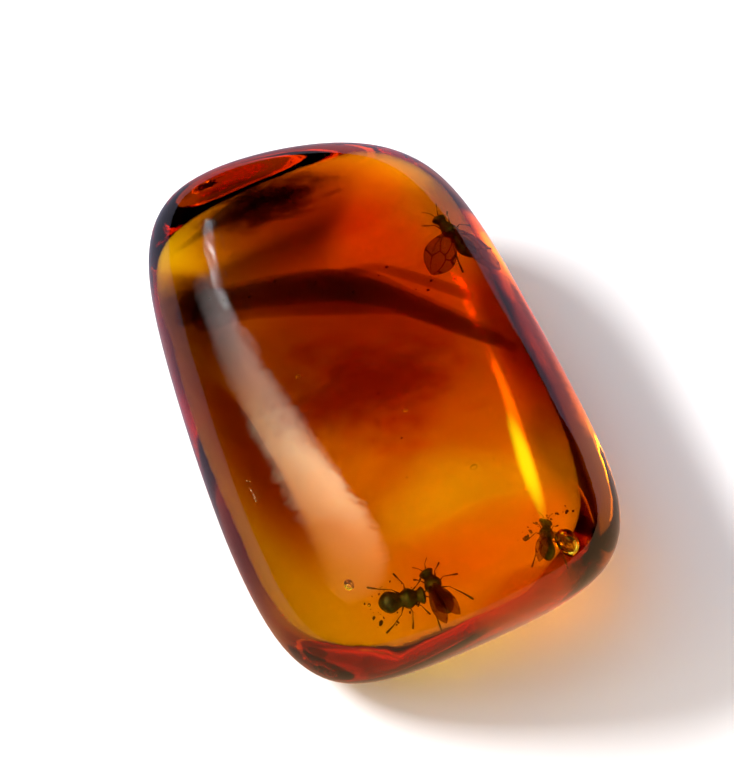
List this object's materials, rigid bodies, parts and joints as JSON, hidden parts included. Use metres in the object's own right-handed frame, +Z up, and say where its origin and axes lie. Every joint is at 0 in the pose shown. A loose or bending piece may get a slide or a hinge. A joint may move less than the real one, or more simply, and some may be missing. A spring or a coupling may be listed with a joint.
{
  "type": "insect in amber",
  "caption": "Polished pebble of clear amber with insects sealed inside; it lies on its flat back.",
  "frame": {"origin": "middle of the pebble's bounding box, on the plane of its flat back", "axes": "+Z up out of the flat back, +Y along the pebble towards its narrower, steeper head end"},
  "size_m": [0.0148, 0.022, 0.0088],
  "materials": {
    "amber": "polished"
  },
  "bodies": {
    "root": {"amber": "amber"}
  },
  "joints": []
}
